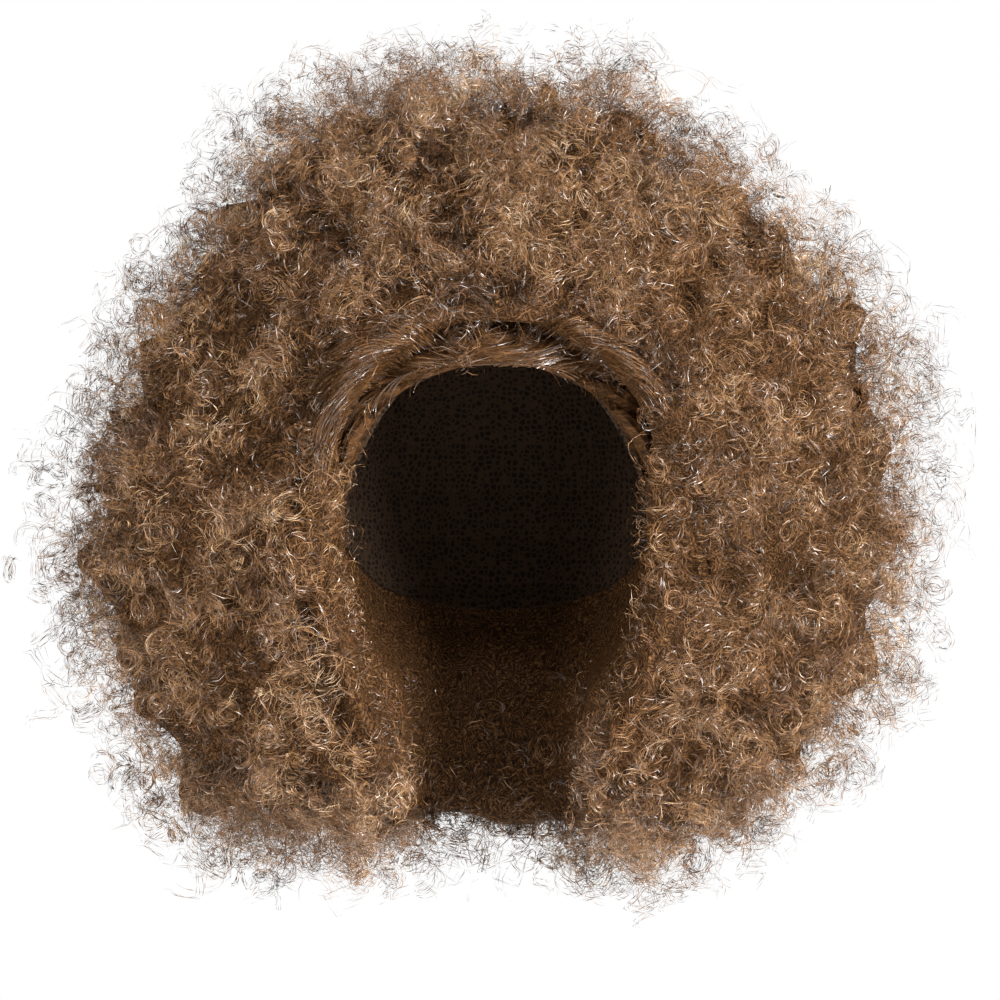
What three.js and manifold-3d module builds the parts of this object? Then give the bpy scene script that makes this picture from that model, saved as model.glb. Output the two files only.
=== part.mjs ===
// Afro wig: a close stretch cap, combed hair along its hairline, and panels of tight curls
// that stand out round the head as one big ball.
// Millimetres, +Z up, the face looks along -Y, +X is the wearer's left.
// The origin is the crown of the head, on the inside of the cap.
import * as THREE from "three";
import { mergeVertices } from "three/addons/utils/BufferGeometryUtils.js";
import Module from "manifold-3d";

const wasm = await Module();
wasm.setup();

// The head that the cap is made for
const HEAD_WIDTH = 150;
const HEAD_LENGTH = 190;
const CROWN_RISE = 95; // crown above the widest level of the head

// The cap: its fabric, and how far its rim lies below the crown
const CAP_WALL = 2;
const EAR_TAB_DROP = 116; // tab in front of the ear
const EAR_ARCH_DROP = 94; // arch above the ear
const NAPE_DROP = 154;
const EAR_TAB_FORWARD = 30; // middle of the tab, in front of the middle of the head
const EAR_ARCH_BACK = 8; // top of the arch, behind the middle of the head
const RIM_TUCK = 2; // the cap's edge stays this far behind the hairline

// The ball of hair: how far it stands off the head, and how low it hangs
const TOP_HAIR = 98;
const SIDE_HAIR = 122;
const FRONT_HAIR = 28;
const BACK_HAIR = 112;
const HANG = 182; // below the widest level of the head
const WIDEST_BACK = 30; // the widest upright section of the ball, behind the middle of the head

// The opening for the face and the neck
const HAIRLINE_DROP = 41; // below the crown, at the middle of the forehead
const FACE_WIDTH = 128;
const FACE_DROP = 174; // hairline to chin
const NECK_GAP = 78; // between the two sides of hair in front of the neck
const NECK_DEPTH = 104;
const NECK_BACK = 14; // middle of the neck, behind the middle of the head
const LIP = 36; // how far the hair rounds away from the face on its way to the front
const LOCK_CLEARANCE = 0.6; // the ball's own locks keep this share of the lip away from the opening

// Locks of curls, fused to the ball
const LOCK_COUNT = 124;
const LOCK_WIDTH = 56;
const LOCK_RISE = 22;
const LOCK_PROUD = 3; // the tips of the locks stand this far out of the ball's outline
const BACKING_SINK = 13; // the plain ball under the locks lies this far inside it
const LOCK_LEAN = 0.36; // radians, at most
const LOCK_SIDES = 5;
const RIM_LOCK_WIDTH = 42; // smaller locks round the face

// Combed hair along the hairline
const SWEEP_RISE = 23; // how far it climbs the head before it turns into curls
const SWEEP_DEPTH = 10;
const STRAND_WIDTH = 8;
const STRAND_SIDES = 5;

// Seams between the panels of hair
const TOP_SPREAD = 0.75; // sideways run of the seam beside the top, for each mm that it climbs
const FRONT_SEAM = -14; // seam of the front panel, behind the middle of the head
const BACK_SEAM = 58; // seam of the back panels, behind the middle of the head
const SEAM_SLOPE = 0.32; // backward run of both, for each mm that they climb
const NAPE_SEAM = 62; // top of the nape panel, below the widest level of the head
const GAP = 0.3; // between neighbouring pieces

const HAIR_COLOR = "#7d5f47";
const CAP_COLOR = "#3b2a20";

// Outline of the ball from the front, round the middle of the head.
// turn: degrees from +X towards +Z. reach: share of the plain oval that the sizes above give.
const OUTLINE = [
  { turn: 0, reach: 0.985 },
  { turn: 15, reach: 1.0 },
  { turn: 30, reach: 0.995 },
  { turn: 45, reach: 0.965 },
  { turn: 60, reach: 0.93 },
  { turn: 68, reach: 1.01 },
  { turn: 75, reach: 1.02 },
  { turn: 90, reach: 1.02 },
  { turn: 105, reach: 1.0 },
  { turn: 120, reach: 1.01 },
  { turn: 135, reach: 0.98 },
  { turn: 150, reach: 0.93 },
  { turn: 165, reach: 0.98 },
  { turn: 180, reach: 0.99 },
  { turn: 197, reach: 1.06 },
  { turn: 210, reach: 1.02 },
  { turn: 225, reach: 1.09 },
  { turn: 240, reach: 1.04 },
  { turn: 255, reach: 0.96 },
  { turn: 270, reach: 0.97 },
  { turn: 285, reach: 1.03 },
  { turn: 300, reach: 1.03 },
  { turn: 315, reach: 1.035 },
  { turn: 330, reach: 1.06 },
  { turn: 345, reach: 1.0 },
];

// Edge of the face opening, from the middle of the forehead down to the jaw.
// across: share of half the face width. down: share of the way from hairline to chin.
const FACE_EDGE = [
  { across: 0.0, down: 0.0 },
  { across: 0.42, down: 0.025 },
  { across: 0.76, down: 0.11 },
  { across: 0.96, down: 0.27 },
  { across: 1.0, down: 0.5 },
  { across: 0.93, down: 0.72 },
  { across: 0.76, down: 0.88 },
];
const TEMPLE_STEP = 3; // row of FACE_EDGE at the temple
const END_ROOM = 0.1; // rows of FACE_EDGE left free at each end of the combed hair
const NECK_SLOT_DROP = 1.03; // share of the way from hairline to chin where the neck slot begins

// The face opening on its way to the front: what stays clear of every lock, and how the plain ball
// is flared. forward: share of the way from the middle of the head to the front of the ball.
// spread: share of LIP.
const FACE_CLEAR = [
  { forward: 0.05, spread: 0.0 },
  { forward: 1.5, spread: 0.0 },
];
const FACE_FLARE = [
  { forward: 0.1, spread: -0.04 },
  { forward: 0.5, spread: -0.04 },
  { forward: 0.68, spread: 0.14 },
  { forward: 0.85, spread: 0.48 },
  { forward: 1.0, spread: 1.0 },
  { forward: 1.3, spread: 2.2 },
];

// Side view of one lock, from its root inside the ball to its tip.
// across: share of half its width. along: share of its rise.
const LOCK_SHAPE = [
  { across: 0.0, along: -1.0 },
  { across: 1.0, along: 0.0 },
  { across: 0.68, along: 0.7 },
  { across: 0.0, along: 1.0 },
];

// Cross-section of the combed hair.
// climb: share of SWEEP_RISE. out: share of its depth, from the cap outwards.
const SWEEP_SECTION = [
  { climb: 0.0, out: 0.0 },
  { climb: 0.0, out: 0.6 },
  { climb: 0.5, out: 1.0 },
  { climb: 1.0, out: 0.9 },
  { climb: 1.0, out: 0.0 },
];

// Combed strands. start, end: places on the hairline, in rows of FACE_EDGE from the middle, minus to
// the wearer's right. from, to: share of SWEEP_RISE at which the strand starts and ends.
const STRANDS = [
  { start: 0.1, end: -1.3, from: 0.1, to: 0.85 },
  { start: -0.5, end: -1.9, from: 0.1, to: 0.75 },
  { start: -1.0, end: -2.4, from: 0.1, to: 0.75 },
  { start: -1.6, end: -2.9, from: 0.15, to: 0.8 },
  { start: -2.2, end: -3.0, from: 0.2, to: 0.5 },
  { start: 0.2, end: -0.5, from: 0.15, to: 0.95 },
  { start: 0.3, end: 0.5, from: 0.1, to: 0.95 },
  { start: 0.4, end: 1.3, from: 0.1, to: 0.9 },
  { start: 0.9, end: 1.9, from: 0.1, to: 0.8 },
  { start: 1.5, end: 2.5, from: 0.1, to: 0.8 },
  { start: 2.1, end: 3.0, from: 0.15, to: 0.6 },
];

const headMiddle = new THREE.Vector3(0, 0, -CROWN_RISE);
const ballMiddle = new THREE.Vector3(0, WIDEST_BACK, -CROWN_RISE);
const faceMiddle = new THREE.Vector2(0, -HAIRLINE_DROP - FACE_DROP / 2);
const frontReach = HEAD_LENGTH / 2 + FRONT_HAIR;
const ballRadius = {
  side: HEAD_WIDTH / 2 + SIDE_HAIR,
  up: CROWN_RISE + TOP_HAIR,
  down: HANG,
  front: frontReach + WIDEST_BACK,
  back: HEAD_LENGTH / 2 + BACK_HAIR - WIDEST_BACK,
};
const farAway = 2 * (ballRadius.side + ballRadius.up); // longer than the wig in any direction

// A closed three.js geometry as a solid that can be joined and cut
function solidFrom(geometry) {
  const bare = geometry.clone();
  bare.deleteAttribute("normal");
  bare.deleteAttribute("uv");
  const merged = mergeVertices(bare, 1e-3);
  const mesh = new wasm.Mesh({
    numProp: 3,
    vertProperties: merged.attributes.position.array,
    triVerts: new Uint32Array(merged.index.array),
  });
  return new wasm.Manifold(mesh);
}

// A solid back as a three.js geometry
function geometryFrom(solid) {
  const mesh = solid.getMesh();
  const geometry = new THREE.BufferGeometry();
  geometry.setAttribute("position", new THREE.BufferAttribute(mesh.vertProperties, 3));
  geometry.setIndex(new THREE.BufferAttribute(mesh.triVerts, 1));
  geometry.computeVertexNormals();
  return geometry;
}

// The largest of a solid's bodies: a seam can cut the tip off a lock of the panel beside it
function largestBody(solid) {
  return solid.decompose().reduce((best, body) => (body.volume() > best.volume() ? body : best));
}

// A number from 0 to 1 that looks random and is the same each time
function scatter(index, salt) {
  const wave = Math.sin(index * 12.9898 + salt * 78.233) * 43758.5453;
  return wave - Math.floor(wave);
}

// Rings of points joined into a closed body with a flat end at each side
function loft(rings) {
  const sides = rings[0].length;
  const ends = [rings[0], rings[rings.length - 1]].map((ring) =>
    ring.reduce((sum, point) => sum.add(point), new THREE.Vector3()).divideScalar(sides),
  );
  const points = [...rings.flat(), ...ends];
  const firstEnd = points.length - 2;
  const lastEnd = points.length - 1;
  const lastRing = (rings.length - 1) * sides;
  const index = [];
  for (let k = 0; k < sides; k += 1) {
    const next = (k + 1) % sides;
    for (let low = 0; low < lastRing; low += sides) {
      const high = low + sides;
      index.push(low + k, low + next, high + next, low + k, high + next, high + k);
    }
    index.push(firstEnd, next, k, lastEnd, lastRing + k, lastRing + next);
  }
  const geometry = new THREE.BufferGeometry().setFromPoints(points);
  geometry.setIndex(index);
  return solidFrom(geometry);
}

// The head grown by a distance: the cap and the inside of the hair follow it
function grownHead(by) {
  const geometry = new THREE.SphereGeometry(1, 20, 14);
  geometry.rotateX(Math.PI / 2);
  geometry.scale(HEAD_WIDTH / 2 + by, HEAD_LENGTH / 2 + by, CROWN_RISE + by);
  geometry.translate(headMiddle.x, headMiddle.y, headMiddle.z);
  return solidFrom(geometry);
}

// Share of the plain oval that the outline reaches at a turn in degrees, eased from row to row
function outlineShare(turn) {
  const next = OUTLINE.findIndex((row) => row.turn > turn);
  const after = next < 0 ? { ...OUTLINE[0], turn: 360 } : OUTLINE[next];
  const before = OUTLINE[next < 0 ? OUTLINE.length - 1 : next - 1];
  const eased = THREE.MathUtils.smoothstep(turn, before.turn, after.turn);
  return THREE.MathUtils.lerp(before.reach, after.reach, eased);
}

// Reach of the ball from its middle, in a direction of length 1
function hairReach(direction) {
  const turn = THREE.MathUtils.euclideanModulo(Math.atan2(direction.z, direction.x), 2 * Math.PI);
  const upright = direction.z > 0 ? ballRadius.up : ballRadius.down;
  const oval = 1 / Math.hypot(Math.cos(turn) / ballRadius.side, Math.sin(turn) / upright);
  const outline = oval * outlineShare(THREE.MathUtils.radToDeg(turn));
  const depth = direction.y < 0 ? ballRadius.front : ballRadius.back;
  return 1 / Math.hypot(Math.hypot(direction.x, direction.z) / outline, direction.y / depth);
}

// The plain ball under the locks
function ballBacking() {
  const geometry = new THREE.IcosahedronGeometry(1, 3);
  const place = geometry.attributes.position;
  const point = new THREE.Vector3();
  for (let k = 0; k < place.count; k += 1) {
    point.fromBufferAttribute(place, k).normalize();
    point.multiplyScalar(hairReach(point) - BACKING_SINK).add(ballMiddle);
    place.setXYZ(k, point.x, point.y, point.z);
  }
  return solidFrom(geometry);
}

// One lock of curls that points along a direction, with its middle at a place
function lock(index, width, direction, place) {
  const half = (width / 2) * THREE.MathUtils.lerp(0.8, 1.2, scatter(index, 1));
  const profile = LOCK_SHAPE.map((row) => new THREE.Vector2(row.across * half, row.along * LOCK_RISE));
  const geometry = new THREE.LatheGeometry(profile, LOCK_SIDES);
  const spin = scatter(index, 2) * 2 * Math.PI;
  const leanAxis = new THREE.Vector3(Math.cos(spin), 0, Math.sin(spin));
  const lean = new THREE.Quaternion().setFromAxisAngle(leanAxis, LOCK_LEAN * scatter(index, 3));
  const outward = new THREE.Quaternion().setFromUnitVectors(new THREE.Vector3(0, 1, 0), direction);
  geometry.applyQuaternion(outward.multiply(lean));
  geometry.translate(place.x, place.y, place.z);
  return solidFrom(geometry);
}

// Whether a place on the ball lies in front of the face or the neck, where no lock grows
function isOpen(place) {
  const across = place.x / (FACE_WIDTH / 2 + LIP * LOCK_CLEARANCE);
  const up = (place.z - faceMiddle.y) / (FACE_DROP / 2 + LIP * LOCK_CLEARANCE);
  const beforeNeck = Math.abs(place.x) < NECK_GAP / 2 + LIP * LOCK_CLEARANCE && place.z < faceMiddle.y;
  return place.y < 0 && (Math.hypot(across, up) < 1 || beforeNeck);
}

// Locks all over the ball, each a golden angle on from the one before
function ballLocks() {
  const goldenTurn = Math.PI * (3 - Math.sqrt(5));
  const made = [];
  for (let k = 0; k < LOCK_COUNT; k += 1) {
    const up = 1 - (2 * (k + 0.5)) / LOCK_COUNT;
    const flat = Math.sqrt(1 - up * up);
    const turn = k * goldenTurn;
    const direction = new THREE.Vector3(flat * Math.cos(turn), flat * Math.sin(turn), up);
    const middle = hairReach(direction) + LOCK_PROUD - LOCK_RISE;
    const place = direction.clone().multiplyScalar(middle).add(ballMiddle);
    if (!isOpen(place)) made.push(lock(k, LOCK_WIDTH, direction, place));
  }
  return made;
}

// The edge of the face opening as one smooth curve, from one side of the jaw over the forehead to the other
const edgeHalf = FACE_EDGE.map(
  (row) => new THREE.Vector2((row.across * FACE_WIDTH) / 2, -HAIRLINE_DROP - row.down * FACE_DROP),
);
const edgeMirrored = edgeHalf.slice(1).reverse().map((place) => new THREE.Vector2(-place.x, place.y));
const edgeCurve = new THREE.SplineCurve([...edgeMirrored, ...edgeHalf]);
const lastStep = FACE_EDGE.length - 1;

// A place on that edge, counted in rows of FACE_EDGE from the middle of the forehead, spread away
// from the face
function edgePlace(step, spread) {
  const place = edgeCurve.getPoint((step + lastStep) / (2 * lastStep));
  const away = place.clone().sub(faceMiddle).normalize();
  return place.addScaledVector(away, spread);
}

// Front view of the opening for the face and the neck, spread by a distance
function openingOutline(spread) {
  const right = [];
  for (let step = 0; step <= lastStep; step += 0.5) right.push(edgePlace(step, spread));
  const slot = NECK_GAP / 2 + spread;
  right.push(new THREE.Vector2(slot, -HAIRLINE_DROP - FACE_DROP * NECK_SLOT_DROP));
  right.push(new THREE.Vector2(slot, -CROWN_RISE - HANG * 1.3));
  const left = right.slice(1).reverse().map((place) => new THREE.Vector2(-place.x, place.y));
  return [...right, ...left].reverse();
}

// The way in for the face, widened towards the front by the rows of a table
function faceTunnel(rows) {
  const rings = rows.map((row) => {
    const forward = row.forward * frontReach;
    return openingOutline(row.spread * LIP).map((place) => new THREE.Vector3(place.x, -forward, place.y));
  });
  return loft(rings);
}

// The way down for the neck, from inside the head to below the wig
function neckPassage() {
  const height = HANG * 1.3;
  const geometry = new THREE.CylinderGeometry(1, 1, height, 20);
  geometry.rotateX(Math.PI / 2);
  geometry.scale(NECK_GAP / 2, NECK_DEPTH / 2, 1);
  geometry.translate(0, NECK_BACK, -CROWN_RISE - height / 2);
  return solidFrom(geometry);
}

// Locks round the face opening, on the rounded lip
function rimLocks() {
  const made = [];
  for (let step = -lastStep; step <= lastStep; step += 1) {
    const edge = edgePlace(step, LIP * 0.75);
    const inward = faceMiddle.clone().sub(edge).normalize().multiplyScalar(0.55);
    const direction = new THREE.Vector3(inward.x, -1, inward.y).normalize();
    const place = new THREE.Vector3(edge.x, -frontReach * 0.78, edge.y);
    made.push(lock(LOCK_COUNT + step, RIM_LOCK_WIDTH, direction, place));
  }
  return made;
}

// A place on the cap beside the hairline, climbed up the head and lifted off the cap
function onCap(step, climb, off) {
  const place = edgePlace(step, climb);
  const grown = CAP_WALL + off;
  const across = place.x / (HEAD_WIDTH / 2 + grown);
  const up = (place.y + CROWN_RISE) / (CROWN_RISE + grown);
  const forward = (HEAD_LENGTH / 2 + grown) * Math.sqrt(Math.max(0, 1 - across * across - up * up));
  return new THREE.Vector3(place.x, -forward, place.y);
}

// How far the combed hair climbs: most at the middle of the forehead, less at the temples
function sweepRise(step) {
  return SWEEP_RISE * (1 - 0.55 * (step / TEMPLE_STEP) ** 2);
}

// A band along the hairline from temple to temple, of a depth, grown all round by a distance
function sweepBand(depth, grow) {
  const steps = 10;
  const places = [];
  for (let k = 0; k <= steps; k += 1) {
    places.push(THREE.MathUtils.lerp(TEMPLE_STEP, -TEMPLE_STEP, k / steps));
  }
  if (grow > 0) {
    places.unshift(TEMPLE_STEP + END_ROOM);
    places.push(-TEMPLE_STEP - END_ROOM);
  }
  const rings = places.map((step) => {
    const rise = sweepRise(step) + 2 * grow;
    const thick = depth + 2 * grow;
    return SWEEP_SECTION.map((row) => onCap(step, row.climb * rise - grow, row.out * thick + GAP - grow));
  });
  return loft(rings);
}

// One combed strand: a tapered tube that lies on the band
function strand(row) {
  const points = [0, 0.33, 0.67, 1].map((share) => {
    const step = THREE.MathUtils.lerp(row.start, row.end, share);
    const climb = THREE.MathUtils.lerp(row.from, row.to, share) * sweepRise(step);
    return onCap(step, climb, SWEEP_DEPTH * (0.42 + 0.16 * Math.sin(Math.PI * share)));
  });
  const curve = new THREE.CatmullRomCurve3(points);
  const steps = 4;
  const frames = curve.computeFrenetFrames(steps, false);
  const rings = [];
  for (let k = 0; k <= steps; k += 1) {
    const middle = curve.getPointAt(k / steps);
    const radius = (STRAND_WIDTH / 2) * (0.5 + 0.5 * Math.sin((Math.PI * (k + 0.5)) / (steps + 1)));
    const ring = [];
    for (let side = 0; side < STRAND_SIDES; side += 1) {
      const turn = (side / STRAND_SIDES) * 2 * Math.PI;
      const point = middle.clone();
      point.addScaledVector(frames.normals[k], Math.cos(turn) * radius);
      point.addScaledVector(frames.binormals[k], Math.sin(turn) * radius);
      ring.push(point);
    }
    rings.push(ring);
  }
  return loft(rings);
}

function hairlineSweep() {
  const combed = wasm.Manifold.union([sweepBand(SWEEP_DEPTH * 0.4, 0), ...STRANDS.map(strand)]);
  const trimmed = combed.intersect(sweepBand(SWEEP_DEPTH, 0));
  return largestBody(trimmed.subtract(grownHead(CAP_WALL + GAP)));
}

// Everything below the rim of the cap in side view, pushed right across the head
function belowRim() {
  const brow = [0, 1, 2, TEMPLE_STEP].map((step) => onCap(step, RIM_TUCK, 0));
  const rim = [
    ...brow.map((place) => new THREE.Vector2(place.y, place.z)),
    new THREE.Vector2(-EAR_TAB_FORWARD, -EAR_TAB_DROP),
    new THREE.Vector2(EAR_ARCH_BACK, -EAR_ARCH_DROP),
    new THREE.Vector2((EAR_ARCH_BACK + HEAD_LENGTH / 2) / 2, -(EAR_ARCH_DROP + 2 * NAPE_DROP) / 3),
    new THREE.Vector2(HEAD_LENGTH / 2, -NAPE_DROP),
  ];
  const outline = [
    new THREE.Vector2(-farAway, rim[0].y),
    ...new THREE.SplineCurve(rim).getPoints(16),
    new THREE.Vector2(farAway, -NAPE_DROP),
    new THREE.Vector2(farAway, -farAway),
    new THREE.Vector2(-farAway, -farAway),
  ];
  const through = { depth: farAway, bevelEnabled: false };
  const geometry = new THREE.ExtrudeGeometry(new THREE.Shape(outline), through);
  geometry.translate(0, 0, -farAway / 2);
  // The side view's two axes become Y and Z, and its thickness runs along X
  const yAxis = new THREE.Vector3(0, 1, 0);
  const zAxis = new THREE.Vector3(0, 0, 1);
  geometry.applyMatrix4(new THREE.Matrix4().makeBasis(yAxis, zAxis, new THREE.Vector3(1, 0, 0)));
  return solidFrom(geometry);
}

function cap() {
  return largestBody(grownHead(CAP_WALL).subtract(grownHead(0)).subtract(belowRim()));
}

// The whole ball of hair, hollow for the head, the neck, the face and the combed hair
function hairBall() {
  const round = ballBacking().subtract(faceTunnel(FACE_FLARE));
  const fluffed = wasm.Manifold.union([round, ...ballLocks(), ...rimLocks()]);
  const head = grownHead(CAP_WALL + GAP);
  const combed = sweepBand(SWEEP_DEPTH, GAP);
  const hollows = wasm.Manifold.union([head, neckPassage(), faceTunnel(FACE_CLEAR), combed]);
  return largestBody(fluffed.subtract(hollows));
}

// A flat seam through the point that lies this far behind the middle of the head
function seam(x, y, z, behind) {
  const normal = new THREE.Vector3(x, y, z).normalize();
  return { normal, offset: normal.dot(new THREE.Vector3(0, behind, -CROWN_RISE)) };
}

const seams = {
  left: seam(1, 0, -TOP_SPREAD, 0),
  right: seam(-1, 0, -TOP_SPREAD, 0),
  middle: seam(1, 0, 0, 0),
  front: seam(0, -1, SEAM_SLOPE, FRONT_SEAM),
  back: seam(0, 1, -SEAM_SLOPE, BACK_SEAM),
  nape: { normal: new THREE.Vector3(0, 0, -1), offset: CROWN_RISE + NAPE_SEAM },
};

// The panels. Each seam is named with the side of it that the panel keeps: 1 where its normal
// points, -1 behind.
const PANELS = [
  { name: "front_hair", keeps: { left: -1, right: -1, front: 1 } },
  { name: "crown_hair", keeps: { left: -1, right: -1, front: -1, back: -1 } },
  { name: "left_hair", keeps: { left: 1, middle: 1, back: -1 } },
  { name: "right_hair", keeps: { right: 1, middle: -1, back: -1 } },
  { name: "back_hair", keeps: { back: 1, nape: -1 } },
  { name: "nape_hair", keeps: { back: 1, nape: 1 } },
];

function panel(ball, keeps) {
  let kept = ball;
  for (const [name, side] of Object.entries(keeps)) {
    const { normal, offset } = seams[name];
    const inward = normal.clone().multiplyScalar(side);
    kept = kept.trimByPlane([inward.x, inward.y, inward.z], offset * side + GAP / 2);
  }
  return largestBody(kept);
}

const hairMaterial = new THREE.MeshStandardMaterial({ color: HAIR_COLOR, roughness: 0.75, metalness: 0 });
const capMaterial = new THREE.MeshStandardMaterial({ color: CAP_COLOR, roughness: 0.9, metalness: 0 });

// Merging close vertices can pinch a sliver off a body, so the largest body is taken until only one is left
function settled(solid) {
  const merged = solidFrom(geometryFrom(solid));
  return merged.decompose().length === 1 ? merged : settled(largestBody(merged));
}

function piece(name, solid, material) {
  const mesh = new THREE.Mesh(geometryFrom(settled(solid)), material);
  mesh.name = name;
  return mesh;
}

const wig = new THREE.Group();
wig.name = "afro_wig";
wig.add(piece("cap", cap(), capMaterial.clone()));
wig.add(piece("hairline_sweep", hairlineSweep(), hairMaterial.clone()));
const ball = hairBall();
for (const { name, keeps } of PANELS) {
  wig.add(piece(name, panel(ball, keeps), hairMaterial.clone()));
}

export default wig;
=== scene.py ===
import logging
import math
from dataclasses import dataclass, field
from enum import Enum

import bmesh
import bpy
import numpy as np
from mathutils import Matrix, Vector
from mathutils.bvhtree import BVHTree


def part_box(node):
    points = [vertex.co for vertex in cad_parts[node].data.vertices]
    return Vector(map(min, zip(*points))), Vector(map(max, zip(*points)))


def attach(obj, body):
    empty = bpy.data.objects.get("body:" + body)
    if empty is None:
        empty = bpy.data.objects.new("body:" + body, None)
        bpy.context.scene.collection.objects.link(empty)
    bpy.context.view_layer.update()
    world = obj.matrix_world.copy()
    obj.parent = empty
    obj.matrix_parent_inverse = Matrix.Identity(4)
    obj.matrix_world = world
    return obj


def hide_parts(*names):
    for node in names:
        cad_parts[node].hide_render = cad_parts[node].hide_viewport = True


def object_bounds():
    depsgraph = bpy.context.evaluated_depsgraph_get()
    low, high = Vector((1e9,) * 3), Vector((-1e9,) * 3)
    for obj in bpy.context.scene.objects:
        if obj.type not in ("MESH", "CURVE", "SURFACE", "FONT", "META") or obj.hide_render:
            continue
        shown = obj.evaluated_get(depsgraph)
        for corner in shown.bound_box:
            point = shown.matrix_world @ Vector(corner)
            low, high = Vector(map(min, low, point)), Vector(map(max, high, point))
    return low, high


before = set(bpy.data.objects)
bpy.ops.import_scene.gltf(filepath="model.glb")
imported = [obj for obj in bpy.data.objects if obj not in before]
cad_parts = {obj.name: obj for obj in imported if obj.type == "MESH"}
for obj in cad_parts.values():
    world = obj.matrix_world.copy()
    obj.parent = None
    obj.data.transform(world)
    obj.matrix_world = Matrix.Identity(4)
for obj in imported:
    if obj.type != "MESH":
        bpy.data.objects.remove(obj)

log = logging.getLogger("afro_wig")
MM = 0.001
CAD_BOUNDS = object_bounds()
FRINGE = 8 * MM  # how far single hairs may reach beyond the solids, besides 3 in 100 of each side
SQUEEZED = 14 * MM  # the outer part of that room, where hairs are pressed together


def linear(hex_colour: str) -> tuple[float, float, float, float]:
    """Turn an sRGB hex colour into linear values.

    Args:
        hex_colour: A colour such as "#7d5f47".

    Returns:
        Red, green, blue and an alpha of 1, in linear light.
    """
    parts = [int(hex_colour[k : k + 2], 16) / 255 for k in (1, 3, 5)]
    red, green, blue = [c / 12.92 if c <= 0.04045 else ((c + 0.055) / 1.055) ** 2.4 for c in parts]
    return red, green, blue, 1.0


def add_node(
    tree: bpy.types.NodeTree,
    kind: str,
    settings: dict[str, object] | None = None,
    inputs: dict[str | int, object] | None = None,
) -> bpy.types.Node:
    """Add a node with its settings and links.

    Args:
        tree: The material's or Geometry Nodes tree.
        kind: The node's type.
        settings: Properties of the node.
        inputs: Sockets by name or number. A socket given here is linked, any other value is set.

    Returns:
        The new node.
    """
    node = tree.nodes.new(kind)
    for name, value in (settings or {}).items():
        setattr(node, name, value)
    for key, value in (inputs or {}).items():
        socket = node.inputs[key]
        if isinstance(value, bpy.types.NodeSocket):
            tree.links.new(value, socket)
        else:
            socket.default_value = value
    return node


def add_ramp(tree: bpy.types.NodeTree, factor: bpy.types.NodeSocket, stops: list[tuple[float, str]]) -> bpy.types.NodeSocket:
    """Add a colour ramp.

    Args:
        tree: The material's tree.
        factor: What drives the ramp.
        stops: Positions from 0 to 1, each with its hex colour.

    Returns:
        The ramp's colour socket.
    """
    ramp = add_node(tree, "ShaderNodeValToRGB", inputs={"Fac": factor})
    elements = ramp.color_ramp.elements
    while len(elements) < len(stops):
        elements.new(0.5)
    for element, (position, colour) in zip(elements, stops):
        element.position = position
        element.color = linear(colour)
    return ramp.outputs["Color"]


class Attribute(Enum):
    """Named attributes that the carriers and the strands hold."""

    GROWTH = "growth"
    LIFT = "lift"
    RELIEF = "relief"
    TONE_AND_SHADE = "tone"
    ALONG = "along"
    WIDTH = "width"
    STRAND = "strand"


@dataclass(frozen=True)
class CurlyFibre:
    """Crimped modacrylic wig fibre: fine, springy and softly glossy, so single strands glint.

    Attributes:
        name: The material's name.
        shades: Ramp from the darkest strand to the palest.
        root: Colour near a strand's root.
        root_length: Share of the strand that keeps the root's colour.
        patch_mm: Width of the patches that are a little darker or paler.
        patch_depth: How much the patches change the shade.
        roughness: Softness of the fibre's gloss.
        gloss: Strength of the gloss, high because the fibre glints nearly white.
    """

    name: str = "crimped_modacrylic_fibre"
    shades: tuple[tuple[float, str], ...] = (
        (0.0, "#2f1d0e"),
        (0.35, "#634329"),
        (0.65, "#87613c"),
        (0.9, "#a5825d"),
        (1.0, "#c4aa8a"),
    )
    root: str = "#35230f"
    root_length: float = 0.2
    patch_mm: float = 42.0
    patch_depth: float = 0.7
    roughness: float = 0.3
    gloss: float = 0.55

    def material(self) -> bpy.types.Material:
        """Build the material, with a shade for each strand and patches as wide as a few locks."""
        material = bpy.data.materials.new(self.name)
        material.use_nodes = True
        tree = material.node_tree
        tree.nodes.clear()
        place = add_node(tree, "ShaderNodeTexCoord").outputs["Object"]
        patches = add_node(
            tree,
            "ShaderNodeTexNoise",
            inputs={"Vector": place, "Scale": 1 / (self.patch_mm * MM), "Detail": 2.0},
        )
        tone = add_node(tree, "ShaderNodeAttribute", {"attribute_name": Attribute.TONE_AND_SHADE.value})
        along = add_node(tree, "ShaderNodeAttribute", {"attribute_name": Attribute.ALONG.value})
        shifted = add_node(
            tree,
            "ShaderNodeMath",
            {"operation": "MULTIPLY_ADD"},
            {0: patches.outputs["Fac"], 1: self.patch_depth, 2: -self.patch_depth / 2},
        )
        shade = add_node(
            tree,
            "ShaderNodeMath",
            {"operation": "ADD", "use_clamp": True},
            {0: tone.outputs["Fac"], 1: shifted.outputs[0]},
        )
        colour = add_ramp(tree, shade.outputs[0], list(self.shades))
        rooted = add_node(
            tree,
            "ShaderNodeMix",
            {"data_type": "RGBA"},
            {
                "Factor": add_ramp(tree, along.outputs["Fac"], [(0.0, "#000000"), (self.root_length, "#ffffff")]),
                6: linear(self.root),
                7: colour,
            },
        )
        surface = add_node(
            tree,
            "ShaderNodeBsdfPrincipled",
            inputs={
                "Base Color": rooted.outputs[2],
                "Roughness": self.roughness,
                "IOR": 1.55,
                "Specular IOR Level": self.gloss,
            },
        )
        add_node(tree, "ShaderNodeOutputMaterial", inputs={"Surface": surface.outputs[0]})
        return material


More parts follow.
